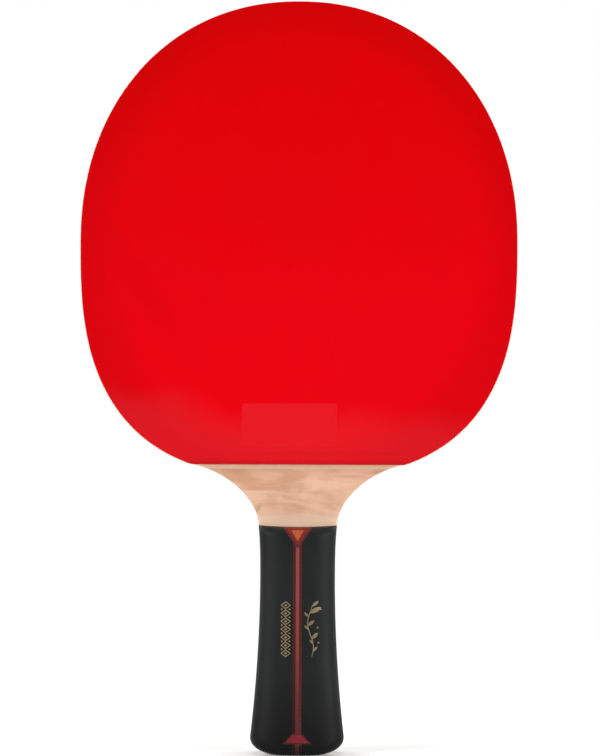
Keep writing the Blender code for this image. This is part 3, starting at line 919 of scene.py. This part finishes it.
STEM_X, STEM_SWAY, STEM_WAVES, STEM_START = 0.0045, 0.0010, 2.1, 0.4
STEM_FOOT, STEM_HEIGHT, STEM_STEPS = 0.0338, 0.0176, 40
STEM_LINE, STEM_SWELL = 0.00011, 0.00006  # half its width at its ends, and what its middle adds
LEAVES = (  # share of the stem, side, length and lean
    (0.10, 1, 0.0022, 0.9), (0.26, -1, 0.0018, 0.9), (0.36, 1, 0.0029, 0.75), (0.52, -1, 0.0020, 0.8),
    (0.60, 1, 0.0028, 0.7), (0.78, -1, 0.0021, 0.8), (0.84, 1, 0.0042, 0.45), (0.97, 1, 0.0028, 0.7),
)
BERRIES = ((0.0079, 0.0500), (0.0069, 0.0437), (0.0072, 0.0386))


def gilt_sprig(name):
    """A plain sprig: one curved stem with leaves to both sides and a few berries."""
    shape = bmesh.new()
    stem, widths = [], []
    for i in range(STEM_STEPS + 1):
        share = i / STEM_STEPS
        sway = STEM_SWAY * math.sin(share * STEM_WAVES * math.pi + STEM_START)
        stem.append((STEM_X + sway, STEM_FOOT + STEM_HEIGHT * share))
        widths.append(STEM_LINE + STEM_SWELL * math.sin(math.pi * i / STEM_STEPS))
    ribbon(shape, stem, widths)
    for share, side, length, lean in LEAVES:
        x, z = stem[round(share * STEM_STEPS)]
        tip = (x + side * length * math.cos(lean), z + length * math.sin(lean))
        petal(shape, (x, z), tip, length * LEAF_WIDTH, LEAFY)
    for x, z in BERRIES:
        petal(shape, (x - BEAD, z), (x + BEAD, z), BEAD, OVAL)
    return finished(name, shape)


show("gilt_column", gilt_column("gilt_column"), gilt, "black_lacquer")
show("gilt_sprig", gilt_sprig("gilt_sprig"), gilt, "black_lacquer")

# ---------------------------------------------------------------- stage, light and camera

scene = bpy.context.scene
scene.view_settings.view_transform = "Standard"
scene.view_settings.look = "None"

MIDDLE_Z = 0.13  # where the lights aim
AMBIENT = 0.08  # the world's even grey
FLOOR_RADIUS, FLOOR_SIDES, FLOOR_DROP = 12.0, 96, 0.0001
FLOOR_FADE = (0.20, 0.75)  # distances between which the floor turns into the white background
FLOOR_GREY, FLOOR_LIFT = 0.90, 0.2  # its colour near the racket, and the light added to it for the camera
BOUNCED = 0.12  # light of the far floor for all rays but the camera's and the glossy ones
MIRRORED_FADE, MIRRORED = (0.25, 1.1), (0.62, 0.07)  # its light for glossy rays, near and far


def pale_floor():
    """A wide pale disc that fades into the white background away from the racket."""
    shape = bmesh.new()
    bmesh.ops.create_circle(shape, cap_ends=True, segments=FLOOR_SIDES, radius=FLOOR_RADIUS)
    mesh = bpy.data.meshes.new("floor")
    shape.to_mesh(mesh)
    shape.free()
    made = bpy.data.objects.new("floor", mesh)
    made.location.z = -FLOOR_DROP
    scene.collection.objects.link(made)
    look = bpy.data.materials.new("floor")
    look.use_nodes = True
    tree = look.node_tree
    tree.nodes.clear()

    def node(kind, settings=None, **inputs):
        return add_node(tree, kind, settings, **inputs)

    place = node("TexCoord").outputs["Object"]
    distance = node("VectorMath", {"operation": "LENGTH"}, i0=place).outputs["Value"]
    far = node("MapRange", {"interpolation_type": "SMOOTHSTEP"}, i0=distance, i1=FLOOR_FADE[0],
               i2=FLOOR_FADE[1]).outputs[0]
    sheen = node("MapRange", i0=distance, i1=MIRRORED_FADE[0], i2=MIRRORED_FADE[1], i3=MIRRORED[0],
                 i4=MIRRORED[1]).outputs[0]
    ray = node("LightPath").outputs
    seen = ray["Is Camera Ray"]
    white, dim, mirrored_floor = (node("Emission", i1=level).outputs[0] for level in (1.0, BOUNCED, sheen))
    unseen = node("MixShader", i0=ray["Is Glossy Ray"], i1=dim, i2=mirrored_floor).outputs[0]
    distant = node("MixShader", i0=seen, i1=unseen, i2=white).outputs[0]
    near = node("BsdfDiffuse", i0=(FLOOR_GREY, FLOOR_GREY, FLOOR_GREY, 1.0)).outputs[0]
    lift = node("Math", {"operation": "MULTIPLY"}, i0=seen, i1=FLOOR_LIFT).outputs[0]
    lifted = node("AddShader", i0=near, i1=node("Emission", i1=lift).outputs[0]).outputs[0]
    node("OutputMaterial", i0=node("MixShader", i0=far, i1=lifted, i2=distant).outputs[0])
    mesh.materials.append(look)


def studio_world(ambient):
    """White to the camera, a dim even grey to everything else."""
    world = bpy.data.worlds.new("studio")
    scene.world = world
    world.use_nodes = True
    tree = world.node_tree
    tree.nodes.clear()
    grey, white = (add_node(tree, "Background", i0=(level, level, level, 1.0)).outputs[0]
                   for level in (ambient, 1.0))
    seen = add_node(tree, "LightPath").outputs["Is Camera Ray"]
    add_node(tree, "OutputWorld", i0=add_node(tree, "MixShader", i0=seen, i1=grey, i2=white).outputs[0])


def soft_light(name, place, width, height, watts):
    """A softbox aimed at the middle of the racket, and not seen itself."""
    data = bpy.data.lights.new(name, "AREA")
    data.shape = "RECTANGLE"
    data.size, data.size_y = width, height
    data.energy = watts
    made = bpy.data.objects.new(name, data)
    made.location = place
    aim = Vector((0.0, 0.0, MIDDLE_Z)) - Vector(place)
    made.rotation_euler = aim.to_track_quat("-Z", "Y").to_euler()
    made.visible_camera = False
    scene.collection.objects.link(made)


pale_floor()
studio_world(AMBIENT)
soft_light("front_left", (-1.25, -0.90, 0.60), 0.9, 0.9, 15.5)
soft_light("front_right", (1.30, -0.85, 0.40), 0.8, 1.0, 15.5)
soft_light("back_left", (-1.15, 1.00, 0.80), 0.9, 0.9, 13.0)
soft_light("back_right", (1.15, 1.00, 0.80), 0.9, 0.9, 13.0)
soft_light("above", (0.0, 0.0, 1.40), 0.9, 0.9, 7.0)

LENS, SENSOR = 200.0, 36.0
SEEN_HEIGHT, SEEN_X, SEEN_Z = 0.2589, 0.00053, 0.12875  # the frame's height at the racket, and its middle
TILT = -0.25  # degrees the camera is rolled about its line of sight
camera_data = bpy.data.cameras.new("camera")
camera_data.lens = LENS
camera_data.sensor_width = SENSOR
camera_data.clip_end = 100.0
camera = bpy.data.objects.new("camera", camera_data)
camera.location = (SEEN_X, -SEEN_HEIGHT * LENS / SENSOR - GLUED_FACE, SEEN_Z)
camera.rotation_euler = (math.pi / 2, math.radians(TILT), 0.0)
scene.collection.objects.link(camera)
scene.camera = camera
